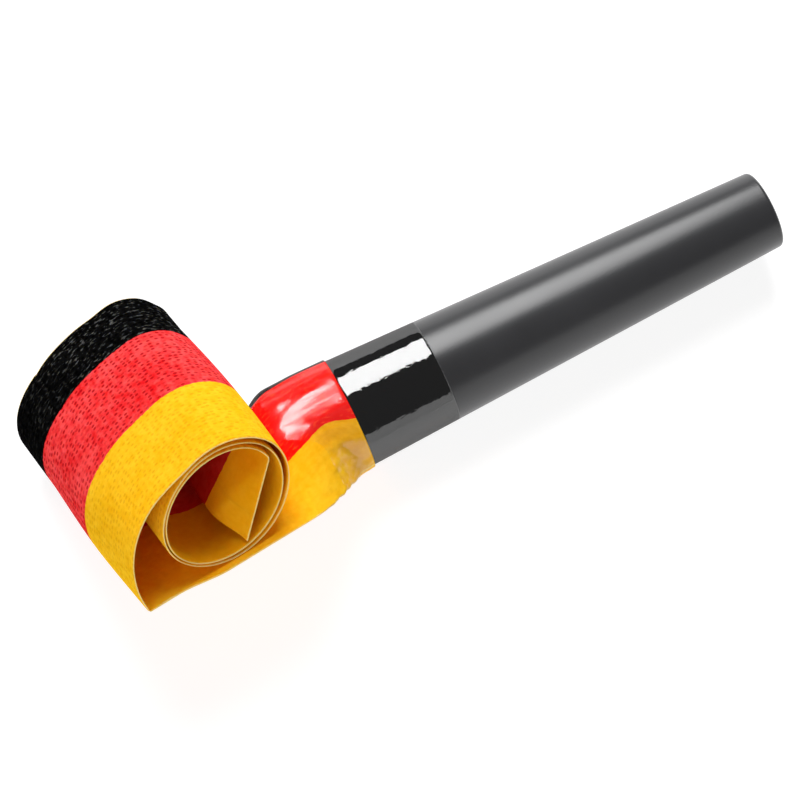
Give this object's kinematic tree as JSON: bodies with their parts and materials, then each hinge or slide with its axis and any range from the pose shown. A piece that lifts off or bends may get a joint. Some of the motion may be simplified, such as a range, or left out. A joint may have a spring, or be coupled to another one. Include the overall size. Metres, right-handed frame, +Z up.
{
  "type": "party horn blower",
  "caption": "Party horn blower: tapered plastic mouthpiece with a reed inside and a striped flat paper tube taped on, which unrolls when blown and springs back into a roll.",
  "frame": {"origin": "centre of the mouth end of the mouthpiece tube, on its axis", "axes": "+X runs out of the mouth along the tube, +Z is up as the blower lies on a table, and the yellow edge of the paper is on the -Y side"},
  "size_m": [0.1001, 0.0417, 0.0371],
  "materials": {
    "mouthpiece_plastic": "satin moulded dark grey",
    "printed_paper": "printed embossed paper in yellow, red and black stripes",
    "clear_film": "clear glossy adhesive film",
    "reed_plastic": "white moulded plastic",
    "reed_film": "thin plastic film",
    "recoil_film": "curled plastic strip"
  },
  "bodies": {
    "mouthpiece": {"mouthpiece_tube": "mouthpiece_plastic", "reed_holder": "reed_plastic", "reed_tongue_root": "reed_film", "reed_clip": "reed_plastic", "paper_neck": "printed_paper", "recoil_strip_root": "recoil_film", "tape_band": "clear_film"},
    "reed_tongue": {"reed_tongue": "reed_film"},
    "turn_01": {"paper_turn_01": "printed_paper", "recoil_strip_01": "recoil_film"},
    "turn_02": {"paper_turn_02": "printed_paper", "recoil_strip_02": "recoil_film"},
    "turn_03": {"paper_turn_03": "printed_paper", "recoil_strip_03": "recoil_film"},
    "turn_04": {"paper_turn_04": "printed_paper", "recoil_strip_04": "recoil_film"},
    "turn_05": {"paper_turn_05": "printed_paper", "recoil_strip_05": "recoil_film"},
    "turn_06": {"paper_turn_06": "printed_paper", "recoil_strip_06": "recoil_film"},
    "turn_07": {"paper_turn_07": "printed_paper", "recoil_strip_07": "recoil_film"},
    "turn_08": {"paper_turn_08": "printed_paper", "recoil_strip_08": "recoil_film"},
    "turn_09": {"paper_turn_09": "printed_paper", "recoil_strip_09": "recoil_film"},
    "turn_10": {"paper_turn_10": "printed_paper", "recoil_strip_10": "recoil_film"},
    "turn_11": {"paper_turn_11": "printed_paper", "recoil_strip_11": "recoil_film"},
    "turn_12": {"paper_turn_12": "printed_paper", "recoil_strip_12": "recoil_film"},
    "turn_13": {"paper_turn_13": "printed_paper", "recoil_strip_13": "recoil_film"},
    "turn_14": {"paper_turn_14": "printed_paper", "recoil_strip_14": "recoil_film"},
    "turn_15": {"paper_turn_15": "printed_paper", "recoil_strip_15": "recoil_film"},
    "turn_16": {"paper_turn_16": "printed_paper", "recoil_strip_16": "recoil_film"},
    "turn_17": {"paper_turn_17": "printed_paper", "recoil_strip_17": "recoil_film"},
    "turn_18": {"paper_turn_18": "printed_paper", "recoil_strip_18": "recoil_film", "end_fold": "printed_paper"}
  },
  "joints": [
    {"name": "unroll", "type": "hinge", "parent": "mouthpiece", "child": "turn_01", "pos_m": [-0.09749, -0.00014, 0.00426], "axis": [0.1288, -0.8023, 0.5829], "range_deg": [0, 94], "stiffness_Nm_per_rad": 0.0056, "springref_deg": 4.87},
    {"name": "unroll_02", "type": "hinge", "parent": "turn_01", "child": "turn_02", "pos_m": [-0.09702, 0.00429, 0.01025], "axis": [0.1288, -0.8023, 0.5829], "range_deg": [0, 28.05], "stiffness_Nm_per_rad": 0.0001, "springref_deg": -17.19},
    {"name": "unroll_03", "type": "hinge", "parent": "turn_02", "child": "turn_03", "pos_m": [-0.0932, 0.00832, 0.01495], "axis": [0.1288, -0.8023, 0.5829], "range_deg": [0, 29.05], "stiffness_Nm_per_rad": 0.0001, "springref_deg": -17.19},
    {"name": "unroll_04", "type": "hinge", "parent": "turn_03", "child": "turn_04", "pos_m": [-0.08502, 0.01187, 0.01803], "axis": [0.1288, -0.8023, 0.5829], "range_deg": [0, 44.19], "stiffness_Nm_per_rad": 0.0001, "springref_deg": -17.19},
    {"name": "unroll_05", "type": "hinge", "parent": "turn_04", "child": "turn_05", "pos_m": [-0.07685, 0.01141, 0.0156], "axis": [0.1288, -0.8023, 0.5829], "range_deg": [0, 58.34], "stiffness_Nm_per_rad": 0.0001, "springref_deg": -17.19},
    {"name": "unroll_06", "type": "hinge", "parent": "turn_05", "child": "turn_06", "pos_m": [-0.07479, 0.00754, 0.00981], "axis": [0.1288, -0.8023, 0.5829], "range_deg": [0, 58.34], "stiffness_Nm_per_rad": 0.0001, "springref_deg": -17.19},
    {"name": "unroll_07", "type": "hinge", "parent": "turn_06", "child": "turn_07", "pos_m": [-0.0809, 0.00283, 0.00468], "axis": [0.1288, -0.8023, 0.5829], "range_deg": [0, 58.34], "stiffness_Nm_per_rad": 0.0001, "springref_deg": -17.19},
    {"name": "unroll_08", "type": "hinge", "parent": "turn_07", "child": "turn_08", "pos_m": [-0.08902, 0.00283, 0.00647], "axis": [0.1288, -0.8023, 0.5829], "range_deg": [0, 58.34], "stiffness_Nm_per_rad": 0.0001, "springref_deg": -17.19},
    {"name": "unroll_09", "type": "hinge", "parent": "turn_08", "child": "turn_09", "pos_m": [-0.09149, 0.00624, 0.01172], "axis": [0.1288, -0.8023, 0.5829], "range_deg": [0, 58.34], "stiffness_Nm_per_rad": 0.0001, "springref_deg": -17.19},
    {"name": "unroll_10", "type": "hinge", "parent": "turn_09", "child": "turn_10", "pos_m": [-0.08637, 0.01087, 0.01695], "axis": [0.1288, -0.8023, 0.5829], "range_deg": [0, 58.34], "stiffness_Nm_per_rad": 0.0001, "springref_deg": -17.19},
    {"name": "unroll_11", "type": "hinge", "parent": "turn_10", "child": "turn_11", "pos_m": [-0.07839, 0.01131, 0.01579], "axis": [0.1288, -0.8023, 0.5829], "range_deg": [0, 58.34], "stiffness_Nm_per_rad": 0.0001, "springref_deg": -17.19},
    {"name": "unroll_12", "type": "hinge", "parent": "turn_11", "child": "turn_12", "pos_m": [-0.07559, 0.00833, 0.01108], "axis": [0.1288, -0.8023, 0.5829], "range_deg": [0, 58.34], "stiffness_Nm_per_rad": 0.0001, "springref_deg": -17.19},
    {"name": "unroll_13", "type": "hinge", "parent": "turn_12", "child": "turn_13", "pos_m": [-0.07975, 0.00387, 0.00585], "axis": [0.1288, -0.8023, 0.5829], "range_deg": [0, 58.34], "stiffness_Nm_per_rad": 0.0001, "springref_deg": -17.19},
    {"name": "unroll_14", "type": "hinge", "parent": "turn_13", "child": "turn_14", "pos_m": [-0.08752, 0.00303, 0.00641], "axis": [0.1288, -0.8023, 0.5829], "range_deg": [0, 58.34], "stiffness_Nm_per_rad": 0.0001, "springref_deg": -17.19},
    {"name": "unroll_15", "type": "hinge", "parent": "turn_14", "child": "turn_15", "pos_m": [-0.09056, 0.00559, 0.01061], "axis": [0.1288, -0.8023, 0.5829], "range_deg": [0, 58.34], "stiffness_Nm_per_rad": 0.0001, "springref_deg": -17.19},
    {"name": "unroll_16", "type": "hinge", "parent": "turn_15", "child": "turn_16", "pos_m": [-0.08732, 0.00982, 0.01572], "axis": [0.1288, -0.8023, 0.5829], "range_deg": [0, 58.34], "stiffness_Nm_per_rad": 0.0001, "springref_deg": -17.19},
    {"name": "unroll_17", "type": "hinge", "parent": "turn_16", "child": "turn_17", "pos_m": [-0.07984, 0.01103, 0.01573], "axis": [0.1288, -0.8023, 0.5829], "range_deg": [0, 58.34], "stiffness_Nm_per_rad": 0.0001, "springref_deg": -17.19},
    {"name": "unroll_18", "type": "hinge", "parent": "turn_17", "child": "turn_18", "pos_m": [-0.07661, 0.0088, 0.01195], "axis": [0.1288, -0.8023, 0.5829], "range_deg": [0, 71.19], "stiffness_Nm_per_rad": 0.0001, "springref_deg": -17.19},
    {"name": "reed_flex", "type": "hinge", "parent": "mouthpiece", "child": "reed_tongue", "pos_m": [-0.05731, 0, 0.00005], "axis": [0, -1, 0], "range_deg": [0, 6], "stiffness_Nm_per_rad": 0.00002}
  ],
  "couplings": [
    {"joint": "unroll_02", "follows": "unroll", "ratio": 0.29787},
    {"joint": "unroll_03", "follows": "unroll", "ratio": 0.30851},
    {"joint": "unroll_04", "follows": "unroll", "ratio": 0.4696},
    {"joint": "unroll_05", "follows": "unroll", "ratio": 0.62006},
    {"joint": "unroll_06", "follows": "unroll", "ratio": 0.62006},
    {"joint": "unroll_07", "follows": "unroll", "ratio": 0.62006},
    {"joint": "unroll_08", "follows": "unroll", "ratio": 0.62006},
    {"joint": "unroll_09", "follows": "unroll", "ratio": 0.62006},
    {"joint": "unroll_10", "follows": "unroll", "ratio": 0.62006},
    {"joint": "unroll_11", "follows": "unroll", "ratio": 0.62006},
    {"joint": "unroll_12", "follows": "unroll", "ratio": 0.62006},
    {"joint": "unroll_13", "follows": "unroll", "ratio": 0.62006},
    {"joint": "unroll_14", "follows": "unroll", "ratio": 0.62006},
    {"joint": "unroll_15", "follows": "unroll", "ratio": 0.62006},
    {"joint": "unroll_16", "follows": "unroll", "ratio": 0.62006},
    {"joint": "unroll_17", "follows": "unroll", "ratio": 0.62006},
    {"joint": "unroll_18", "follows": "unroll", "ratio": 0.75684}
  ]
}
